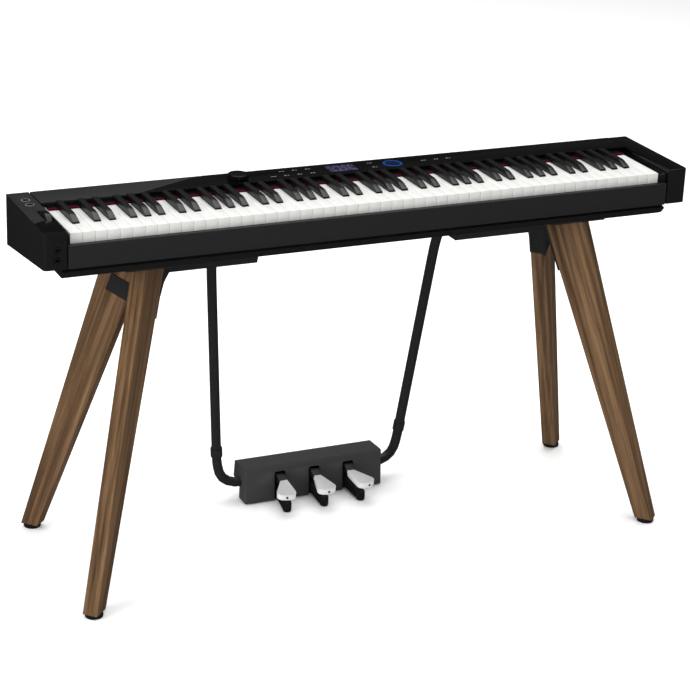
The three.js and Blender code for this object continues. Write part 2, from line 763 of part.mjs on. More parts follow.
// Bent tube from a flange under the case, down and back, then in to the side of the box.
function pedalRod(side) {
  const path = new THREE.CatmullRomCurve3([
    new THREE.Vector3(253, 100, 641),
    new THREE.Vector3(252, 104, 622),
    new THREE.Vector3(249.5, 128, 575),
    new THREE.Vector3(247, 138, 545),
    new THREE.Vector3(236, 153.3, 420),
    new THREE.Vector3(225.9, 168.3, 300),
    new THREE.Vector3(216.7, 181.3, 194),
    new THREE.Vector3(209.3, 190.5, 112),
    new THREE.Vector3(206, 193, 84),
    new THREE.Vector3(196.5, 193.5, 57),
    new THREE.Vector3(178, 192, 43.5),
    new THREE.Vector3(165, 190.5, 41),
    new THREE.Vector3(BOX.half - 3, 190, 41),
  ].map((p) => new THREE.Vector3(PEDAL_X + side * p.x, p.y, p.z)), false, 'centripetal');
  const section = new THREE.Shape().absarc(0, 0, ROD_RADIUS, 0, 2 * Math.PI, false);
  const tube = new THREE.ExtrudeGeometry(section, { steps: 44, extrudePath: path, curveSegments: 5 });
  const collar = new THREE.CylinderGeometry(12.5, 12.5, 20, 16)
    .rotateX(Math.PI / 2 + 0.12)
    .rotateY(side * 0.09)
    .translate(PEDAL_X + side * 209.8, 190, 117);
  const x = PEDAL_X + side * 253;
  const flange = block(x - 30, x + 30, 82, 116, FLOOR_Z - GAP - 4, FLOOR_Z - GAP);
  const box = block(PEDAL_X - BOX.half - GAP, PEDAL_X + BOX.half + GAP, 140, 230, 0, 90);
  return solid(tube).subtract(box).add(solid(collar)).add(flange);
}

// ---------- assembly ----------
add(instrument, 'lower_case', lowerCase(), satin);
add(instrument, 'front_rail', frontRail(), satin);
add(instrument, 'left_cheek', leftCheek(), gloss);
add(instrument, 'right_cheek', rightCheek(), gloss);
add(instrument, 'top_cover', topCover(), grained);
add(instrument, 'control_panel', controlPanel(), gloss);
add(instrument, 'rear_panel', rearPanel(), satin);
add(instrument, 'key_frame', keyFrame(), satin);
add(instrument, 'felt_strip', feltStrip(), felt);
add(instrument, 'display_window', block(
  DISPLAY.x0,
  DISPLAY.x1,
  DISPLAY.y0,
  DISPLAY.y1,
  TOP - 1,
  TOP,
), glass);
add(instrument, 'touch_ring', ringShape(RING.inner, RING.outer, TOP - 1, TOP), blueLight);
add(instrument, 'main_board', mainBoard(), laminate);
add(instrument, 'speaker_left', speaker(-430), paper);
add(instrument, 'speaker_right', speaker(430), paper);
add(instrument, 'power_inlet', powerInlet(), rubber);
for (const [name, details] of Object.entries(SOCKETS)) {
  add(instrument, name, socket(details), rubber);
}
for (const [name, y] of Object.entries(BUTTONS)) {
  add(instrument, name, button(y), satin);
}
add(instrument, 'pitch_wheel', pitchWheel(), satin);
add(instrument, 'volume_knob', volumeKnob(), gloss);
addKeyboard();

for (const [side, sideX] of [['left', -1], ['right', 1]]) {
  add(stand, `${side}_bracket`, bracket(sideX), powderCoat);
  add(instrument, `pedal_rod_${side}`, pedalRod(sideX), powderCoat);
  for (const [end, sideY] of [['front', -1], ['rear', 1]]) {
    add(stand, `leg_${end}_${side}`, leg(sideX, sideY), walnut);
    add(stand, `foot_pad_${end}_${side}`, footPad(sideX, sideY), rubber);
  }
}
add(instrument, 'pedal_box', pedalBox(), powderCoat);
add(instrument, 'pedal_base', pedalBase(), rubber);
add(instrument, 'pedal_shaft', pedalShaft(), steel);
for (const [name, place] of Object.entries(PEDALS)) {
  add(instrument, name, pedal(place), silver);
}

export default piano;
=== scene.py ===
import math

import bmesh
import bpy
from mathutils import Matrix, Vector


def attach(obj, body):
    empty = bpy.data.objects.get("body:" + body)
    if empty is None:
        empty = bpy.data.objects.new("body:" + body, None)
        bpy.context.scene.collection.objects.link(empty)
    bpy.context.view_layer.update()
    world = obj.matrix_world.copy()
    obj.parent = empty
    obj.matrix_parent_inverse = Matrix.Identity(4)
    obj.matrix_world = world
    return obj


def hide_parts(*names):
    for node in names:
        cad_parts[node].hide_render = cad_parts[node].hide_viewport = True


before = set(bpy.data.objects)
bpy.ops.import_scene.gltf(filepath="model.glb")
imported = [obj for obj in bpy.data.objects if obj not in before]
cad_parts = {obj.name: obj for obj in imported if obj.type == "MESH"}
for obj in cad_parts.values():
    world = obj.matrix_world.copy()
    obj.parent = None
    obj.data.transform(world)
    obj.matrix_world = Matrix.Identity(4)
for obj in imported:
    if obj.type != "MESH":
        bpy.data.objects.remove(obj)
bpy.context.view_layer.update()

# ---------------------------------------------------------------------------
# Studio. A pale matt floor, a large soft light overhead, smaller ones at the left,
# front and back, a white room, and a camera that looks down from the front left.
# None of it is the object.
# ---------------------------------------------------------------------------


def hex_colour(code):
    """An sRGB hex colour as the linear colour a shader takes."""
    parts = [int(code[i:i + 2], 16) / 255 for i in (1, 3, 5)]
    linear = [c / 12.92 if c <= 0.04045 else ((c + 0.055) / 1.055) ** 2.4 for c in parts]
    return (*linear, 1.0)


def add_node(tree, kind, inputs=None, **settings):
    """Adds a shader node; each input is a value or another node's output."""
    made = tree.nodes.new("ShaderNode" + kind)
    for name, value in settings.items():
        setattr(made, name, value)
    for key, value in (inputs or {}).items():
        if isinstance(value, bpy.types.NodeSocket):
            tree.links.new(value, made.inputs[key])
        else:
            made.inputs[key].default_value = value
    return made


def start_material(name, **surface):
    """A material with one Principled shader; constants go straight on its sockets."""
    finish = bpy.data.materials.new(name)
    finish.use_nodes = True
    finish.node_tree.nodes.clear()
    inputs = {key.replace("_", " "): value for key, value in surface.items()}
    shader = add_node(finish.node_tree, "BsdfPrincipled", inputs)
    add_node(finish.node_tree, "OutputMaterial", {"Surface": shader.outputs["BSDF"]})
    return finish, finish.node_tree, shader


FLOOR_COLOUR = "#fdfdfd"
FLOOR_HALF = 12.0
CAMERA_AT = Vector((-1.7244, -3.6996, 2.0060))
CAMERA_AIM = Vector((-0.0172, -0.0130, 0.4022))
CAMERA_ROLL = math.radians(2.27)
CAMERA_LENS = 114.39
SENSOR_WIDTH = 36
VIEW_DEPTH = 60
LIGHTS_AIM = Vector((0, 0, 0.4))

# Smooth painted studio floor: the eye sees an even near-white.
studio_floor, tree, shader = start_material("matt painted studio floor", Roughness=0.9)
shader.inputs["Base Color"].default_value = hex_colour(FLOOR_COLOUR)
shader.inputs["Specular IOR Level"].default_value = 0.2
floor_mesh = bpy.data.meshes.new("studio_floor")
floor_bm = bmesh.new()
bmesh.ops.create_grid(floor_bm, x_segments=1, y_segments=1, size=FLOOR_HALF)
floor_bm.to_mesh(floor_mesh)
floor_bm.free()
floor_mesh.materials.append(studio_floor)
floor = bpy.data.objects.new("studio_floor", floor_mesh)
floor.visible_glossy = False
bpy.context.collection.objects.link(floor)

camera = bpy.data.objects.new("camera", bpy.data.cameras.new("camera"))
camera.data.lens = CAMERA_LENS
camera.data.sensor_width = SENSOR_WIDTH
camera.data.clip_end = VIEW_DEPTH
forward = (CAMERA_AIM - CAMERA_AT).normalized()
level_right = forward.cross(Vector((0, 0, 1))).normalized()
level_up = level_right.cross(forward)
right = math.cos(CAMERA_ROLL) * level_right + math.sin(CAMERA_ROLL) * level_up
up = math.cos(CAMERA_ROLL) * level_up - math.sin(CAMERA_ROLL) * level_right
turn = Matrix((right, up, -forward)).transposed().to_4x4()
camera.matrix_world = Matrix.Translation(CAMERA_AT) @ turn
bpy.context.collection.objects.link(camera)
bpy.context.scene.camera = camera

# Only the overhead light shows in polished surfaces, so the gloss stays black.
for name, place, size, watts, mirrored in (
    ("overhead_softbox", (0.3, 0.3, 4.2), 4.5, 165, True),
    ("left_softbox", (-4.2, -1.0, 1.6), 2.4, 120, False),
    ("front_softbox", (-0.6, -4.6, 2.6), 2.6, 14, False),
    ("back_softbox", (1.8, 3.8, 3.0), 2.4, 30, False),
):
    lamp = bpy.data.objects.new(name, bpy.data.lights.new(name, "AREA"))
    lamp.data.shape = "SQUARE"
    lamp.data.size = size
    lamp.data.energy = watts
    lamp.visible_glossy = mirrored
    facing = (LIGHTS_AIM - Vector(place)).to_track_quat("-Z", "Y")
    lamp.matrix_world = Matrix.Translation(place) @ facing.to_matrix().to_4x4()
    bpy.context.collection.objects.link(lamp)

# The room: white where the camera looks at it, a little dimmer as light, dark in gloss.
room = bpy.data.worlds.new("studio_room")
room.use_nodes = True
tree = room.node_tree
tree.nodes.clear()
seen = add_node(tree, "Background", {"Color": hex_colour("#ffffff"), "Strength": 1.0})
given = add_node(tree, "Background", {"Color": hex_colour("#ffffff"), "Strength": 0.7})
dark = add_node(tree, "Background", {"Color": hex_colour("#ffffff"), "Strength": 0.03})
ray = add_node(tree, "LightPath")
dim = add_node(tree, "MixShader", {0: ray.outputs["Is Glossy Ray"], 1: given.outputs[0],
                                   2: dark.outputs[0]})
mixed = add_node(tree, "MixShader", {0: ray.outputs["Is Camera Ray"], 1: dim.outputs[0],
                                     2: seen.outputs[0]})
add_node(tree, "OutputWorld", {"Surface": mixed.outputs[0]})
bpy.context.scene.world = room
bpy.context.scene.view_settings.view_transform = "Standard"

# ---------------------------------------------------------------------------
# Legs. Four tapered boards of solid walnut, planed and oiled, sharp edges eased
# by a light sanding; each leans outwards along a diagonal and is cut level.
# ---------------------------------------------------------------------------


def object_point(tree, scale=(1, 1, 1), rotation=(0, 0, 0), location=(0, 0, 0)):
    """Object coordinates, turned and stretched by a Mapping node."""
    place = add_node(tree, "TexCoord").outputs["Object"]
    settings = {"Vector": place, "Scale": scale, "Rotation": rotation, "Location": location}
    return add_node(tree, "Mapping", settings).outputs["Vector"]


def per_metre(millimetres):
    """Noise scale that gives features of about this size."""
    return 1000.0 / millimetres


def make_piece(name, bm, finish, body="root", stands_for=(), smooth=35):
    """Turns a mesh in millimetres to a finished object that rides on a CAD body."""
    bmesh.ops.remove_doubles(bm, verts=bm.verts, dist=0.001)
    bmesh.ops.recalc_face_normals(bm, faces=bm.faces)
    bmesh.ops.scale(bm, vec=(0.001, 0.001, 0.001), verts=bm.verts)
    for face in bm.faces:
        face.smooth = True
    for edge in bm.edges:
        turned = edge.calc_face_angle(0) if edge.is_manifold else 0
        edge.smooth = turned < math.radians(smooth)
    mesh = bpy.data.meshes.new(name)
    bm.to_mesh(mesh)
    bm.free()
    finishes = finish if isinstance(finish, list) else [finish]
    for one in finishes:
        mesh.materials.append(one)
    piece = bpy.data.objects.new(name, mesh)
    bpy.context.collection.objects.link(piece)
    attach(piece, body)
    if stands_for:
        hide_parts(*stands_for)
    return piece


def cad_copy(node_name):
    """A merged copy of a CAD node in millimetres, with its flat faces joined up."""
    bm = bmesh.new()
    bm.from_mesh(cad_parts[node_name].data)
    bmesh.ops.scale(bm, vec=(1000, 1000, 1000), verts=bm.verts)
    bmesh.ops.remove_doubles(bm, verts=bm.verts, dist=0.002)
    bmesh.ops.dissolve_limit(bm, angle_limit=math.radians(1), verts=bm.verts, edges=bm.edges,
                             use_dissolve_boundaries=False, delimit={"NORMAL"})
    return bm


def ease_edges(bm, width, segments=2, sharper_than=28, among=None):
    """Rounds the edges that turn more than an angle."""
    limit = math.radians(sharper_than)
    edges = [e for e in bm.edges if e.is_manifold and e.calc_face_angle(0) > limit]
    if among:
        edges = [e for e in edges if among((e.verts[0].co + e.verts[1].co) / 2, e)]
    bmesh.ops.bevel(bm, geom=edges, offset=width, offset_type="OFFSET", affect="EDGES",
                    segments=segments, profile=0.5, material=-1, clamp_overlap=True)


def walnut(name, lean, shift):
    """Oiled black walnut, planed along the grain: brown with straight darker bands a few
    millimetres wide, fine short pores that catch the light, and a low satin sheen. The
    pores, 0.3 mm wide, are drawn at 1.6 mm so that they show."""
    finish, tree, shader = start_material(name, Roughness=0.5)
    shader.inputs["Specular IOR Level"].default_value = 0.25
    along_leg = object_point(tree, rotation=lean, location=shift)
    bands_at = add_node(tree, "Mapping", {"Vector": along_leg, "Scale": (1, 1, 0.022)})
    bands = add_node(tree, "TexNoise", {"Vector": bands_at.outputs[0], "Scale": per_metre(7),
                                        "Detail": 5, "Roughness": 0.55, "Distortion": 0.25})
    broad = add_node(tree, "TexNoise", {"Vector": bands_at.outputs[0], "Scale": per_metre(34),
                                        "Detail": 2})
    pores_at = add_node(tree, "Mapping", {"Vector": along_leg, "Scale": (1, 1, 0.035)})
    pores = add_node(tree, "TexNoise", {"Vector": pores_at.outputs[0], "Scale": per_metre(1.6),
                                        "Detail": 3, "Roughness": 0.6})
    both = add_node(tree, "Mix", {"Factor": 0.32, "A": bands.outputs[0],
                                  "B": broad.outputs[0]}, data_type="FLOAT")
    colour = add_node(tree, "ValToRGB", {"Fac": both.outputs[0]})
    stops = colour.color_ramp.elements
    stops[0].position, stops[0].color = 0.33, hex_colour("#3f2c1a")
    stops[1].position, stops[1].color = 0.66, hex_colour("#7a5e40")
    middle = stops.new(0.47)
    middle.color = hex_colour("#594129")
    lighter = stops.new(0.55)
    lighter.color = hex_colour("#694e35")
    pore_mask = add_node(tree, "MapRange", {"Value": pores.outputs[0], "From Min": 0.30,
                                            "From Max": 0.46, "To Min": 0.68, "To Max": 1.0})
    dark = add_node(tree, "Mix", {"Factor": 1.0, "A": colour.outputs[0],
                                  "B": pore_mask.outputs[0]},
                    data_type="RGBA", blend_type="MULTIPLY")
    tree.links.new(dark.outputs["Result"], shader.inputs["Base Color"])
    rough = add_node(tree, "MapRange", {"Value": bands.outputs[0], "To Min": 0.42,
                                        "To Max": 0.62})
    tree.links.new(rough.outputs[0], shader.inputs["Roughness"])
    bump = add_node(tree, "Bump", {"Height": pores.outputs[0], "Strength": 0.25,
                                   "Distance": 0.0006})
    tree.links.new(bump.outputs[0], shader.inputs["Normal"])
    return finish


SIDES = {"left": -1, "right": 1}
ENDS = {"front": -1, "rear": 1}
LEG_FOOT = Vector((602.6, 203.2, 6.5))
LEG_HEAD = Vector((440.6, 48.6, 649.5))
for side, side_x in SIDES.items():
    for end, end_y in ENDS.items():
        axis = LEG_FOOT - LEG_HEAD
        axis.x *= side_x
        axis.y *= end_y
        lean = axis.normalized().rotation_difference(Vector((0, 0, 1))).to_euler()
        # each board is cut from its own part of the grain
        number = (side_x + 1) + (end_y + 1) / 2
        shift = (0.31 * number, 0.17 * number, 0)
        board = walnut(f"oiled walnut, {end} {side} board", lean, shift)
        leg = cad_copy(f"leg_{end}_{side}")
        ease_edges(leg, 1.6, 3)
        make_piece(f"walnut_leg_{end}_{side}", leg, board,
                   stands_for=[f"leg_{end}_{side}"], smooth=60)

# Feet. Round glides of moulded rubber, black and dull, with a small chamfer. The speckle,
# of 0.2 mm, is drawn at 0.8 mm so that it shows.
rubber, tree, shader = start_material("moulded nitrile rubber", Roughness=0.85)
shader.inputs["Specular IOR Level"].default_value = 0.3
speckle = add_node(tree, "TexNoise", {"Vector": object_point(tree), "Scale": per_metre(0.8),
                                      "Detail": 2})
tint = add_node(tree, "Mix", {"Factor": speckle.outputs[0], "A": hex_colour("#0e0e0f"),
                              "B": hex_colour("#1a1a1b")}, data_type="RGBA")
tree.links.new(tint.outputs["Result"], shader.inputs["Base Color"])
bump = add_node(tree, "Bump", {"Height": speckle.outputs[0], "Strength": 0.2, "Distance": 0.0003})
tree.links.new(bump.outputs[0], shader.inputs["Normal"])


def lathe(bm, profile, centre, axis="Z", steps=40):
    """Spins (radius, height) points about an axis through centre. The profile ends on the
    axis at both poles, or closes on itself."""
    points = [bm.verts.new((radius, 0, height)) for radius, height in profile]
    edges = [bm.edges.new(pair) for pair in zip(points, points[1:])]
    bmesh.ops.spin(bm, geom=points + edges, cent=(0, 0, 0), axis=(0, 0, 1),
                   angle=2 * math.pi, steps=steps, use_merge=True)
    fresh = {v for f in bm.faces for v in f.verts if not f.tag}
    bmesh.ops.remove_doubles(bm, verts=list(fresh), dist=0.001)
    fresh = {v for f in bm.faces if not f.tag for v in f.verts}
    tilt = {"Z": Matrix(), "X": Matrix.Rotation(math.pi / 2, 4, "Y"),
            "Y": Matrix.Rotation(-math.pi / 2, 4, "X")}[axis]
    bmesh.ops.transform(bm, matrix=Matrix.Translation(centre) @ tilt, verts=list(fresh))
    for face in bm.faces:
        face.tag = True


FOOT_X, FOOT_Y = 603, 203.2
FOOT_PROFILE = [(0, 0), (15.6, 0), (17.1, 0.8), (17.5, 2.2), (17.5, 5.6), (16.8, 7.2),
                (15.8, 7.6), (0, 7.6)]
for side, side_x in SIDES.items():
    for end, end_y in ENDS.items():
        pad = bmesh.new()
        lathe(pad, FOOT_PROFILE, (FOOT_X * side_x, FOOT_Y * end_y, 0))
        make_piece(f"rubber_foot_{end}_{side}", pad, rubber,
                   stands_for=[f"foot_pad_{end}_{side}"])

# ---------------------------------------------------------------------------
# Brackets, rods and pedal unit. Folded steel sheet and bent tube, powder coated
# in fine-textured black or charcoal, over a nylon base with three nickel pedals.
# ---------------------------------------------------------------------------


def powder_coat(name, dark, light, roughness):
    """Fine-textured powder coat, baked on: an even orange peel that softens highlights."""
    finish, tree, shader = start_material(name, Roughness=roughness)
    shader.inputs["Specular IOR Level"].default_value = 0.5
    # orange peel of about 1.2 mm, drawn at 3 mm so that it shows
    peel = add_node(tree, "TexNoise", {"Vector": object_point(tree), "Scale": per_metre(3),
                                       "Detail": 3})
    tint = add_node(tree, "Mix", {"Factor": peel.outputs[0], "A": hex_colour(dark),
                                  "B": hex_colour(light)}, data_type="RGBA")
    tree.links.new(tint.outputs["Result"], shader.inputs["Base Color"])
    rough = add_node(tree, "MapRange", {"Value": peel.outputs[0], "To Min": roughness * 0.88,
                                        "To Max": roughness * 1.12})
    tree.links.new(rough.outputs[0], shader.inputs["Roughness"])
    bump = add_node(tree, "Bump", {"Height": peel.outputs[0], "Strength": 0.18,
                                   "Distance": 0.0006})
    tree.links.new(bump.outputs[0], shader.inputs["Normal"])
    return finish


black_coat = powder_coat("black powder coat on steel", "#1a1a1b", "#262627", 0.48)
charcoal_coat = powder_coat("charcoal powder coat on steel", "#343435", "#404041", 0.3)

for side in SIDES:
    bracket = cad_copy(f"{side}_bracket")
    ease_edges(bracket, 0.9, 2)
    make_piece(f"steel_bracket_{side}", bracket, black_coat,
               stands_for=[f"{side}_bracket"])
    rod = cad_copy(f"pedal_rod_{side}")
    make_piece(f"bent_rod_{side}", rod, black_coat,
               stands_for=[f"pedal_rod_{side}"], smooth=40)

INSTRUMENT_Y = -13  # the whole instrument stands this far forward of its own drawing
PEDAL_CENTRE_X = -4
COVER_FRONT_Y = 160
COVER_CORNER_X = 150
CORNER_RISE = 40


def upright_front_edge(at, edge):
    """The two outer upright corners at the front of the pedal cover."""
    rise = abs(edge.verts[0].co.z - edge.verts[1].co.z)
    outer = abs(at.x - PEDAL_CENTRE_X) > COVER_CORNER_X
    return rise > CORNER_RISE and at.y < COVER_FRONT_Y + INSTRUMENT_Y and outer


pedal_cover = cad_copy("pedal_box")
ease_edges(pedal_cover, 4.5, 4, among=upright_front_edge)
ease_edges(pedal_cover, 2.2, 4)
make_piece("pedal_cover", pedal_cover, charcoal_coat, stands_for=["pedal_box"])

# The base is moulded nylon: floor plate, three arms and the posts that meet the floor.
# Its grain, of 0.3 mm, is drawn at 1.5 mm so that it shows.
nylon, tree, shader = start_material("glass-filled nylon, moulded", Roughness=0.6)
grain = add_node(tree, "TexNoise", {"Vector": object_point(tree), "Scale": per_metre(1.5),
                                    "Detail": 3})
tint = add_node(tree, "Mix", {"Factor": grain.outputs[0], "A": hex_colour("#0d0d0e"),
                              "B": hex_colour("#1b1b1c")}, data_type="RGBA")
tree.links.new(tint.outputs["Result"], shader.inputs["Base Color"])
bump = add_node(tree, "Bump", {"Height": grain.outputs[0], "Strength": 0.2, "Distance": 0.0004})
tree.links.new(bump.outputs[0], shader.inputs["Normal"])
pedal_base = cad_copy("pedal_base")
ease_edges(pedal_base, 2.2, 3)
make_piece("pedal_ramps", pedal_base, nylon, stands_for=["pedal_base"],
           smooth=45)

# Pedals: cast zinc, nickel plated; the tread is satin, the rim polished bright. Metallic
# stays low, because gloss reflects a dark room and a full metal would look black. The
# tread's brush lines, of 0.2 mm, are drawn at 0.9 mm so that they show.
satin_nickel, tree, shader = start_material("satin nickel plate", Metallic=0.25, Roughness=0.34)
brushed = object_point(tree, scale=(1, 0.05, 1))
lines = add_node(tree, "TexNoise", {"Vector": brushed, "Scale": per_metre(0.9), "Detail": 3})
tint = add_node(tree, "Mix", {"Factor": lines.outputs[0], "A": hex_colour("#bcbcbc"),
                              "B": hex_colour("#d0d0d0")}, data_type="RGBA")
tree.links.new(tint.outputs["Result"], shader.inputs["Base Color"])
rough = add_node(tree, "MapRange", {"Value": lines.outputs[0], "To Min": 0.28, "To Max": 0.42})
tree.links.new(rough.outputs[0], shader.inputs["Roughness"])

bright_nickel, tree, shader = start_material("polished nickel plate", Metallic=0.3,
                                             Roughness=0.14)
wear = add_node(tree, "TexNoise", {"Vector": object_point(tree), "Scale": per_metre(14),
                                   "Detail": 4})
rough = add_node(tree, "MapRange", {"Value": wear.outputs[0], "To Min": 0.08, "To Max": 0.2})
tree.links.new(rough.outputs[0], shader.inputs["Roughness"])
shader.inputs["Base Color"].default_value = hex_colour("#fbfbfb")

PEDALS = ("pedal_soft", "pedal_middle", "pedal_sustain")
TREAD_BACK_Y = 139
SATIN_TREAD, BRIGHT_RIM, BLACK_LEVER = 0, 1, 2
for name in PEDALS:
    tread = cad_copy(name)
    ease_edges(tread, 1.2, 3)
    for face in tread.faces:
        middle = face.calc_center_median()
        if middle.y > TREAD_BACK_Y + INSTRUMENT_Y:
            face.material_index = BLACK_LEVER
        else:
            face.material_index = SATIN_TREAD if face.normal.z > 0.9 else BRIGHT_RIM
    make_piece(f"cast_{name}", tread, [satin_nickel, bright_nickel, nylon], body=name,
               stands_for=[name], smooth=40)

# A small black plug closes the casting's core hole in the nose of each tread.
TREAD_PIVOT_Y, TREAD_PIVOT_Z, TREAD_INSET = 142, 46.6, 2
PEDAL_SPREAD = 78
TREAD_SPLAY = math.radians(16)
PLUG_PROFILE = [(0, -0.5), (2.3, -0.5), (2.6, -0.2), (2.6, 0.8), (0, 0.8)]
NOSE_FROM_PIVOT = (0, -64, -5.2)
for place, name in enumerate(PEDALS, -1):
    plug = bmesh.new()
    lathe(plug, PLUG_PROFILE, NOSE_FROM_PIVOT, "Y", steps=16)
    pivot_x = PEDAL_CENTRE_X + place * (PEDAL_SPREAD - TREAD_INSET)
    pivot = Vector((pivot_x, TREAD_PIVOT_Y + INSTRUMENT_Y, TREAD_PIVOT_Z))
    turn = Matrix.Translation(pivot) @ Matrix.Rotation(place * TREAD_SPLAY, 4, "Z")
    bmesh.ops.transform(plug, matrix=turn, verts=plug.verts)
    make_piece(f"nose_plug_{name}", plug, rubber, body=name)

# The pivot: a ground steel pin through the three levers.
ground_steel, tree, shader = start_material("ground steel", Metallic=1.0, Roughness=0.3)
rings = add_node(tree, "TexNoise", {"Vector": object_point(tree, scale=(1, 0.1, 0.1)),
                                    "Scale": per_metre(0.8), "Detail": 2})
tint = add_node(tree, "Mix", {"Factor": rings.outputs[0], "A": hex_colour("#8c8c8c"),
                              "B": hex_colour("#a8a8a8")}, data_type="RGBA")
tree.links.new(tint.outputs["Result"], shader.inputs["Base Color"])
pin = cad_copy("pedal_shaft")
ease_edges(pin, 0.6, 1, sharper_than=60)
make_piece("pedal_pin", pin, ground_steel, stands_for=["pedal_shaft"])

# ---------------------------------------------------------------------------
# Case. Injection-moulded ABS: tray, front rail, rear wall, grained top cover,
# polished control panel, key frame and two cheeks, all with eased edges.
# ---------------------------------------------------------------------------


def moulded_abs(name, dark, light, roughness, grain_mm, depth):
    """Black plastic, moulded: a fine even grain that breaks up the highlights. The grain,
    0.1 to 0.3 mm in the mould, is drawn at grain_mm so that it shows."""
    finish, tree, shader = start_material(name, Roughness=roughness)
    shader.inputs["Specular IOR Level"].default_value = 0.22
    grain = add_node(tree, "TexNoise", {"Vector": object_point(tree),
                                        "Scale": per_metre(grain_mm), "Detail": 3})
    cloud = add_node(tree, "TexNoise", {"Vector": object_point(tree), "Scale": per_metre(90),
                                        "Detail": 2})
    tint = add_node(tree, "Mix", {"Factor": grain.outputs[0], "A": hex_colour(dark),
                                  "B": hex_colour(light)}, data_type="RGBA")
    tree.links.new(tint.outputs["Result"], shader.inputs["Base Color"])
    rough = add_node(tree, "MapRange", {"Value": cloud.outputs[0],
                                        "To Min": roughness * 0.88, "To Max": roughness * 1.12})
    tree.links.new(rough.outputs[0], shader.inputs["Roughness"])
    bump = add_node(tree, "Bump", {"Height": grain.outputs[0], "Strength": 0.15,
                                   "Distance": depth})
    tree.links.new(bump.outputs[0], shader.inputs["Normal"])
    return finish


satin_abs = moulded_abs("satin moulded ABS", "#111112", "#191919", 0.42, 1.4, 0.0003)
slip_abs = moulded_abs("satin moulded ABS, key slip", "#1b1b1b", "#252525", 0.42, 1.4, 0.0003)
grained_abs = moulded_abs("leather-grained matt ABS", "#181819", "#242425", 0.6, 2.4, 0.0006)



def split_faces(bm, at, facing):
    """Cuts the faces where a plane crosses them, and keeps both sides."""
    everything = list(bm.verts) + list(bm.edges) + list(bm.faces)
    bmesh.ops.bisect_plane(bm, geom=everything, dist=0.001, plane_co=at, plane_no=facing)


# Polished black acrylic cap over ABS: deep, wet-looking, with a faint haze from wiping.
piano_black, tree, shader = start_material("polished piano-black acrylic", Roughness=0.12)
shader.inputs["Base Color"].default_value = hex_colour("#070708")
shader.inputs["Specular IOR Level"].default_value = 0.25
wiped = object_point(tree, scale=(0.3, 1, 1))
haze = add_node(tree, "TexNoise", {"Vector": wiped, "Scale": per_metre(60), "Detail": 5})
rough = add_node(tree, "MapRange", {"Value": haze.outputs[0], "To Min": 0.08, "To Max": 0.2})
tree.links.new(rough.outputs[0], shader.inputs["Roughness"])

for name, width, finish, slot in (
    ("lower_case", 1.6, satin_abs, "case_plastic"),
    ("front_rail", 1.2, slip_abs, "case_plastic"),
    ("rear_panel", 0.8, satin_abs, "case_plastic"),
    ("top_cover", 0.7, grained_abs, "grained_cover"),
    ("control_panel", 0.7, piano_black, "gloss_black"),
    ("key_frame", 0.6, satin_abs, "case_plastic"),
):
    shell = cad_copy(name)
    ease_edges(shell, width, 3)
    make_piece(f"moulded_{name}", shell, finish, stands_for=[name], smooth=40)

# Each cheek is polished on top, with a plain satin front and outer side. The left one
# carries the buttons and the wheel, and is grained behind a slanted line.
CASE_TOP = 742.8
FINISH_LINE = Vector((-650, -65, CASE_TOP))
FINISH_LINE_FACING = Vector((0.447, -0.894, 0))
GRAINED_TOP, SATIN_SIDE = 1, 2
for side, side_x in SIDES.items():
    cheek = cad_copy(f"{side}_cheek")
    ease_edges(cheek, 1.8, 3)
    if side == "left":
        split_faces(cheek, FINISH_LINE, FINISH_LINE_FACING)
    for face in cheek.faces:
        middle = face.calc_center_median()
        behind = (middle - FINISH_LINE).dot(FINISH_LINE_FACING) < 0
        if side == "left" and behind and face.normal.z > 0.5:
            face.material_index = GRAINED_TOP
        elif face.normal.x * side_x > 0.5 or face.normal.y < -0.7:
            face.material_index = SATIN_SIDE
    make_piece(f"moulded_{side}_cheek", cheek, [piano_black, grained_abs, satin_abs],
               stands_for=[f"{side}_cheek"], smooth=40)

# ---------------------------------------------------------------------------
# Keyboard. Eighty-eight moulded keys: glossy white tops, ebony-textured sharps
# with a long curved nose; each group of an octave's keys shares one lever bar.
# ---------------------------------------------------------------------------

# Acrylic styrene, polished in the mould: clean white with a soft gloss.
white_styrene, tree, shader = start_material("polished white acrylic styrene", Roughness=0.28)
cloud = add_node(tree, "TexNoise", {"Vector": object_point(tree, scale=(1, 0.25, 1)),
                                    "Scale": per_metre(5), "Detail": 3})
tint = add_node(tree, "Mix", {"Factor": cloud.outputs[0], "A": hex_colour("#cdcdca"),
                              "B": hex_colour("#d6d6d3")}, data_type="RGBA")
tree.links.new(tint.outputs["Result"], shader.inputs["Base Color"])
rough = add_node(tree, "MapRange", {"Value": cloud.outputs[0], "To Min": 0.24, "To Max": 0.34})
tree.links.new(rough.outputs[0], shader.inputs["Roughness"])

# Sharps: phenolic with a brushed, wood-like texture along the key. Its fibres, of 0.3 mm,
# are drawn at 1.6 mm so that they show.
sharp_phenolic, tree, shader = start_material("ebony-textured phenolic", Roughness=0.32)
along_key = object_point(tree, scale=(1, 0.04, 1))
fibres = add_node(tree, "TexNoise", {"Vector": along_key, "Scale": per_metre(1.6), "Detail": 3})
tint = add_node(tree, "Mix", {"Factor": fibres.outputs[0], "A": hex_colour("#0a0a0b"),
                              "B": hex_colour("#141415")}, data_type="RGBA")
tree.links.new(tint.outputs["Result"], shader.inputs["Base Color"])
bump = add_node(tree, "Bump", {"Height": fibres.outputs[0], "Strength": 0.3,
                               "Distance": 0.0004})
tree.links.new(bump.outputs[0], shader.inputs["Normal"])

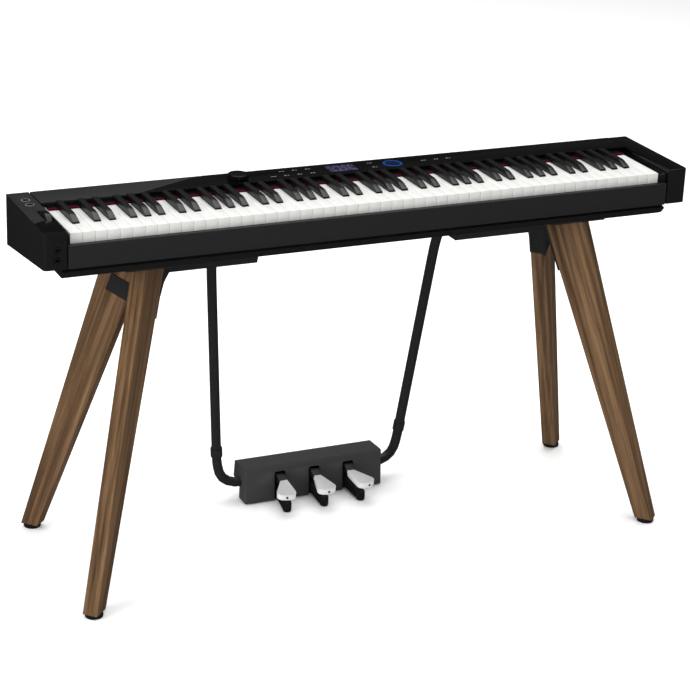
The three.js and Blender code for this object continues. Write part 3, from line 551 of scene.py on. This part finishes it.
KEY_LEFT = -617.2
WHITE_PITCH = 23.6
WHITE_COUNT = 52
WHITE_TOP = 734.0
WHITE_BOTTOM = 714.3
KEY_FRONT_Y = -108.4
HEAD_BACK_Y = -60
KEY_GAP = 0.4
BLACK_TOP = 745.5
BLACK_HALF = 6.8
BLACK_SLOT_HALF = 7.3
BLACK_FRONT_Y = -57.5
BLACK_BACK_Y = 48.0
BLACK_FOOT = 716.5
TAIL_BOTTOM = 716.0
STEM_BOTTOM = 708
BAR_BOTTOM = 696.5
BAR_HEIGHT = 12
BAR_DEPTH = 6
BAR_FRONT_Y = {"white_keys_cegb": 84, "white_keys_dfa": 94, "black_keys": 104}
BLACK_SHIFT = {"C": -2.55, "D": 2.55, "F": -3.67, "G": 0.0, "A": 3.67}
NOTES = "ABCDEFG"


def white_left(white):
    return KEY_LEFT + white * WHITE_PITCH


def has_black_after(white):
    return 0 <= white < WHITE_COUNT - 1 and NOTES[white % 7] in BLACK_SHIFT


def black_centre(white):
    return white_left(white + 1) + BLACK_SHIFT[NOTES[white % 7]]


def prism(bm, outline, thickness, axis="Z"):
    """Extrudes a closed outline of (x, y, z) points by thickness along an axis."""
    face = bm.faces.new([bm.verts.new(point) for point in outline])
    grown = bmesh.ops.extrude_face_region(bm, geom=[face])["geom"]
    step = {"X": (thickness, 0, 0), "Y": (0, thickness, 0), "Z": (0, 0, thickness)}[axis]
    moved = [v for v in grown if isinstance(v, bmesh.types.BMVert)]
    bmesh.ops.translate(bm, vec=step, verts=moved)


def white_key(white, bar_front):
    """One white key: a broad head, a tail between the sharps, and its stem to the bar."""
    left = white_left(white) + KEY_GAP / 2
    right = white_left(white + 1) - KEY_GAP / 2
    tail_left = left
    tail_right = right
    if has_black_after(white - 1):
        tail_left = max(left, black_centre(white - 1) + BLACK_SLOT_HALF)
    if has_black_after(white):
        tail_right = min(right, black_centre(white) - BLACK_SLOT_HALF)
    back = bar_front + BAR_DEPTH
    outline = [(left, KEY_FRONT_Y), (right, KEY_FRONT_Y)]
    if tail_right < right:
        outline += [(right, HEAD_BACK_Y), (tail_right, HEAD_BACK_Y)]
    outline += [(tail_right, back), (tail_left, back)]
    if tail_left > left:
        outline += [(tail_left, HEAD_BACK_Y), (left, HEAD_BACK_Y)]
    bm = bmesh.new()
    prism(bm, [(x, y, WHITE_TOP) for x, y in outline], WHITE_BOTTOM - WHITE_TOP)
    bmesh.ops.recalc_face_normals(bm, faces=bm.faces)
    ease_edges(bm, 0.5, 3, among=lambda at, edge: at.z > WHITE_TOP - 0.1
               or (at.y < KEY_FRONT_Y + 0.1 and at.z > WHITE_BOTTOM + 1))
    prism(bm, [(tail_left, bar_front, STEM_BOTTOM), (tail_right, bar_front, STEM_BOTTOM),
               (tail_right, back, STEM_BOTTOM), (tail_left, back, STEM_BOTTOM)],
          TAIL_BOTTOM - STEM_BOTTOM + 1)
    return bm


# the front of a sharp's side profile as (height, y) points, from its foot up to its top
BLACK_NOSE = ((BLACK_FOOT, BLACK_FRONT_Y), (734.6, BLACK_FRONT_Y), (736.4, -56.6),
              (738.2, -53.2), (743.6, -39.0), (744.8, -34.5), (BLACK_TOP, -28.0))
BLACK_TAPER_FROM = 733
BLACK_TAPER = 0.16
BLACK_EASED_ABOVE = 725
BLACK_TAIL_HALF = 6.4
BLACK_TAIL_TOP = 733.4


def black_key(white, bar_front):
    """One sharp: its side profile drawn, given its width, narrowed at the top and eased."""
    centre = black_centre(white)
    left = centre - BLACK_HALF
    outline = [(left, y, z) for z, y in BLACK_NOSE]
    outline += [(left, BLACK_BACK_Y, BLACK_TOP), (left, BLACK_BACK_Y, BLACK_FOOT)]
    bm = bmesh.new()
    prism(bm, outline, 2 * BLACK_HALF, "X")
    for vert in bm.verts:
        rise = (vert.co.z - BLACK_TAPER_FROM) / (BLACK_TOP - BLACK_TAPER_FROM)
        narrowed = 1 - BLACK_TAPER * min(max(rise, 0), 1)
        vert.co.x = centre + (vert.co.x - centre) * narrowed
    bmesh.ops.recalc_face_normals(bm, faces=bm.faces)
    ease_edges(bm, 0.6, 3, sharper_than=40, among=lambda at, edge: at.z > BLACK_EASED_ABOVE
               and at.y < BLACK_BACK_Y - 1)
    back = bar_front + BAR_DEPTH
    left, right = centre - BLACK_TAIL_HALF, centre + BLACK_TAIL_HALF
    for low, high, front in ((TAIL_BOTTOM, BLACK_TAIL_TOP, BLACK_BACK_Y - 1),
                             (STEM_BOTTOM, TAIL_BOTTOM + 1, bar_front)):
        prism(bm, [(left, front, low), (right, front, low), (right, back, low),
                   (left, back, low)], high - low)
    return bm


def octave_keys(octave):
    """White indices of each of an octave's three groups; the outer octaves hold the ends."""
    c = 2 + 7 * (octave - 1)
    cegb = [c, c + 2, c + 4, c + 6]
    dfa = [c + 1, c + 3, c + 5]
    blacks = [c, c + 1, c + 3, c + 4, c + 5]
    if octave == 1:
        cegb, dfa, blacks = [0, *cegb], [1, *dfa], [0, *blacks]
    if octave == 7:
        dfa = [*dfa, WHITE_COUNT - 1]
    return {"white_keys_cegb": cegb, "white_keys_dfa": dfa, "black_keys": blacks}


def join(target, extra):
    """Moves one bmesh's geometry into another through a throwaway mesh."""
    spare = bpy.data.meshes.new("spare")
    extra.to_mesh(spare)
    extra.free()
    target.from_mesh(spare)
    bpy.data.meshes.remove(spare)


TAILS_ONLY_Y = 60  # behind this line a key is only its tail
for octave in range(1, 8):
    for group, whites in octave_keys(octave).items():
        comb = bmesh.new()
        bar_front = BAR_FRONT_Y[group]
        for white in whites:
            maker = black_key if group == "black_keys" else white_key
            join(comb, maker(white, bar_front))
        tail_xs = [v.co.x for v in comb.verts if v.co.y > TAILS_ONLY_Y]
        left, right, back = min(tail_xs), max(tail_xs), bar_front + BAR_DEPTH
        prism(comb, [(left, bar_front, BAR_BOTTOM), (right, bar_front, BAR_BOTTOM),
                     (right, back, BAR_BOTTOM), (left, back, BAR_BOTTOM)], BAR_HEIGHT)
        bmesh.ops.translate(comb, vec=(0, INSTRUMENT_Y, 0), verts=comb.verts)
        is_black = group == "black_keys"
        node_name = f"{group}_{octave}"
        make_piece(f"moulded_{node_name}", comb, sharp_phenolic if is_black else white_styrene,
                   body=node_name, stands_for=[node_name],
                   smooth=50)


def pressed_wool(name, dark, light):
    """Pressed wool felt: a soft mottled nap that swallows the light. Its fibres are far finer
    than the 1.5 mm at which the nap is drawn so that it shows."""
    finish, tree, shader = start_material(name, Roughness=1.0)
    shader.inputs["Specular IOR Level"].default_value = 0.05
    nap = add_node(tree, "TexNoise", {"Vector": object_point(tree), "Scale": per_metre(1.5),
                                      "Detail": 5})
    tint = add_node(tree, "Mix", {"Factor": nap.outputs[0], "A": hex_colour(dark),
                                  "B": hex_colour(light)}, data_type="RGBA")
    tree.links.new(tint.outputs["Result"], shader.inputs["Base Color"])
    bump = add_node(tree, "Bump", {"Height": nap.outputs[0], "Strength": 0.5,
                                   "Distance": 0.0006})
    tree.links.new(bump.outputs[0], shader.inputs["Normal"])
    return finish


# The strip that closes the gap behind the keys: wine red felt in front; its rear, under the
# panel, is painted near-black to stand for the panel's shadow (painted shade).
SHADE_EDGE_Y = 21
strip = cad_copy("felt_strip")
split_faces(strip, (0, SHADE_EDGE_Y, 0), (0, 1, 0))
for face in strip.faces:
    face.material_index = 1 if face.calc_center_median().y > SHADE_EDGE_Y else 0
red_wool = pressed_wool("pressed wool felt, wine red", "#2b0211", "#4a081f")
# painted shade: the rear part of the strip is coloured near-black where the panel's shadow falls
shade_black_felt = pressed_wool("pressed wool felt, painted black as shade under the panel", "#050505", "#0c0b0b")
make_piece("wool_strip", strip, [red_wool, shade_black_felt], stands_for=["felt_strip"])

# ---------------------------------------------------------------------------
# Panel controls. A display behind smoked glass, a lit touch ring, printed touch
# marks, the turning knob, the wheel and two round push buttons.
# ---------------------------------------------------------------------------

# Smoked window over a lit display: a violet-grey glow with soft brighter fields.
display_glass, tree, shader = start_material("smoked window over a lit display", Roughness=0.08)
glow = add_node(tree, "TexNoise", {"Vector": object_point(tree), "Scale": per_metre(7),
                                   "Detail": 1})
steps = add_node(tree, "ValToRGB", {"Fac": glow.outputs[0]})
steps.color_ramp.interpolation = "EASE"
steps.color_ramp.elements[0].position = 0.4
steps.color_ramp.elements[0].color = hex_colour("#15132a")
steps.color_ramp.elements[1].position = 0.62
steps.color_ramp.elements[1].color = hex_colour("#45425f")
tree.links.new(steps.outputs[0], shader.inputs["Base Color"])
tree.links.new(steps.outputs[0], shader.inputs["Emission Color"])
shader.inputs["Emission Strength"].default_value = 0.12
window = cad_copy("display_window")
ease_edges(window, 0.2, 1)
make_piece("display_pane", window, display_glass, stands_for=["display_window"])

# Light guide of the touch ring: frosted acrylic lit blue from below.
blue_guide, tree, shader = start_material("frosted acrylic light guide, blue", Roughness=0.3)
shade = add_node(tree, "TexNoise", {"Vector": object_point(tree), "Scale": per_metre(18),
                                    "Detail": 1})
tint = add_node(tree, "Mix", {"Factor": shade.outputs[0], "A": hex_colour("#052a6c"),
                              "B": hex_colour("#0b418c")}, data_type="RGBA")
tree.links.new(tint.outputs["Result"], shader.inputs["Base Color"])
tree.links.new(tint.outputs["Result"], shader.inputs["Emission Color"])
shader.inputs["Emission Strength"].default_value = 0.15
ring = cad_copy("touch_ring")
make_piece("light_ring", ring, blue_guide, stands_for=["touch_ring"])

# The touch plate inside the ring: smoked acrylic that takes a little of the blue.
navy_plate, tree, shader = start_material("smoked acrylic, navy", Roughness=0.15)
cloud = add_node(tree, "TexNoise", {"Vector": object_point(tree), "Scale": per_metre(12)})
tint = add_node(tree, "Mix", {"Factor": cloud.outputs[0], "A": hex_colour("#04101f"),
                              "B": hex_colour("#081b36")}, data_type="RGBA")
tree.links.new(tint.outputs["Result"], shader.inputs["Base Color"])
PLATE_PROFILE = [(0, 742.75), (15.5, 742.75), (15.5, 742.9), (0, 742.9)]
RING_CENTRE = (111.5, 74, 0)
plate = bmesh.new()
lathe(plate, PLATE_PROFILE, RING_CENTRE, steps=48)
make_piece("touch_plate", plate, navy_plate)

# Touch marks: screen-printed in pale grey ink, each a small plain sign.
pale_ink, tree, shader = start_material("screen-printed pale grey ink", Roughness=0.6)
print_grain = add_node(tree, "TexNoise", {"Vector": object_point(tree), "Scale": per_metre(1)})
tint = add_node(tree, "Mix", {"Factor": print_grain.outputs[0], "A": hex_colour("#6e6e6f"),
                              "B": hex_colour("#8f8f90")}, data_type="RGBA")
tree.links.new(tint.outputs["Result"], shader.inputs["Base Color"])
BARS = ([(-5, -1.6), (-1, -1.6), (-1, 1.6), (-5, 1.6)],
        [(1, -1.6), (5, -1.6), (5, 0.2), (1, 0.2)])
ARROW = ([(-4, -2), (1, 0), (-4, 2)], [(2, -1.8), (4.4, -1.8), (4.4, 1.8), (2, 1.8)])
DASHES = ([(-5.5, -1), (-2, -1), (-2, 1), (-5.5, 1)],
          [(-1, -1), (5.5, -1), (5.5, 0.6), (-1, 0.6)])
# They stand at one even pitch: two rows beside the display, and one to the right of the ring.
MARK_PITCH = 27.5
DISPLAY_MARK_X = 67
RING_MARK_X = 180
BACK_ROW, FRONT_ROW, RING_ROW = 88, 61, 74
INK_BOTTOM, INK_DEPTH = CASE_TOP - 0.05, 0.15
marks = bmesh.new()
for first_x, row, signs in (
    (-DISPLAY_MARK_X - 2 * MARK_PITCH, BACK_ROW, (DASHES, BARS, BARS)),
    (-DISPLAY_MARK_X - 3 * MARK_PITCH, FRONT_ROW, (DASHES, BARS, ARROW, ARROW)),
    (DISPLAY_MARK_X, BACK_ROW, (DASHES,)),
    (DISPLAY_MARK_X, FRONT_ROW, (BARS,)),
    (RING_MARK_X, RING_ROW, (DASHES, ARROW, BARS)),
):
    for column, sign in enumerate(signs):
        x = first_x + column * MARK_PITCH
        for outline in sign:
            prism(marks, [(x + along, row + across, INK_BOTTOM) for along, across in outline],
                  INK_DEPTH)
make_piece("printed_touch_marks", marks, pale_ink, smooth=20)

# Rims: a pale printed ring round each button, an oval tactile mark, steel socket collars.
BUTTON_PLACES = ((-646, 61), (-646, 33))
RIM = [(7.3, 742.7), (8.3, 742.7), (8.3, 743.0), (7.9, 743.2), (7.3, 743.1), (7.3, 742.7)]
OVAL = [(4.9, 742.7), (5.8, 742.7), (5.8, 742.95), (4.9, 742.95), (4.9, 742.7)]
OVAL_STRETCH = (0.38, 1.1, 1)
OVAL_PLACE = (-649, -6, 0)
SOCKET_X, CASE_FRONT_Y = -644.5, -134.4
SOCKET_HEIGHTS = (708, 689)
COLLAR = [(3.5, -0.2), (4.4, -0.6), (5.3, -0.2), (5.3, 0.3), (3.5, 0.3), (3.5, -0.2)]
for number, (x, y) in enumerate(BUTTON_PLACES, 1):
    rim = bmesh.new()
    lathe(rim, RIM, (x, y, 0))
    make_piece(f"button_rim_{number}", rim, pale_ink)
oval = bmesh.new()
lathe(oval, OVAL, (0, 0, 0))
bmesh.ops.scale(oval, vec=OVAL_STRETCH, verts=oval.verts)
bmesh.ops.translate(oval, vec=OVAL_PLACE, verts=oval.verts)
make_piece("tactile_mark", oval, satin_abs)
for number, height in enumerate(SOCKET_HEIGHTS, 1):
    collar = bmesh.new()
    lathe(collar, COLLAR, (SOCKET_X, CASE_FRONT_Y, height), "Y")
    make_piece(f"socket_collar_{number}", collar, ground_steel)

# Knob, wheel and buttons: the same black acetal, turned or moulded, softly glossy.
acetal = moulded_abs("semi-gloss black acetal", "#070708", "#0f0f10", 0.24, 1.2, 0.0001)
polished_acetal = moulded_abs("polished black acetal", "#0a0a0b", "#161617", 0.14, 1.2, 0.0001)
for node_name, width, finish in (
    ("volume_knob", 0.5, acetal),
    ("pitch_wheel", 0.5, polished_acetal),
    ("power_button", 0.6, acetal),
    ("function_button", 0.6, acetal),
):
    control = cad_copy(node_name)
    ease_edges(control, width, 2, sharper_than=35)
    make_piece(f"turned_{node_name}", control, finish, body=node_name, stands_for=[node_name],
               smooth=40)

# Sockets, board and speakers inside the case.
for node_name in ("headphone_socket", "line_socket", "power_inlet"):
    fitting = cad_copy(node_name)
    ease_edges(fitting, 0.4, 2, sharper_than=50)
    make_piece(f"moulded_{node_name}", fitting, acetal, stands_for=[node_name],
               smooth=40)

# Glass-fibre board under green solder resist.
solder_resist, tree, shader = start_material("green solder resist on glass-fibre", Roughness=0.4)
tracks = add_node(tree, "TexBrick", {"Vector": object_point(tree), "Scale": per_metre(18),
                                     "Color1": hex_colour("#1f4a2c"),
                                     "Color2": hex_colour("#245734"),
                                     "Mortar": hex_colour("#3a7a4c"), "Mortar Size": 0.03})
tree.links.new(tracks.outputs["Color"], shader.inputs["Base Color"])
board = cad_copy("main_board")
make_piece("circuit_board", board, solder_resist, stands_for=["main_board"])

# Pressed paper cone in a moulded basket: dull, fibrous, nearly black.
cone_paper, tree, shader = start_material("pressed paper cone", Roughness=0.9)
fibre = add_node(tree, "TexNoise", {"Vector": object_point(tree), "Scale": per_metre(2),
                                    "Detail": 4})
tint = add_node(tree, "Mix", {"Factor": fibre.outputs[0], "A": hex_colour("#161616"),
                              "B": hex_colour("#262626")}, data_type="RGBA")
tree.links.new(tint.outputs["Result"], shader.inputs["Base Color"])
for side in SIDES:
    cone = cad_copy(f"speaker_{side}")
    make_piece(f"paper_cone_{side}", cone, cone_paper, stands_for=[f"speaker_{side}"],
               smooth=50)
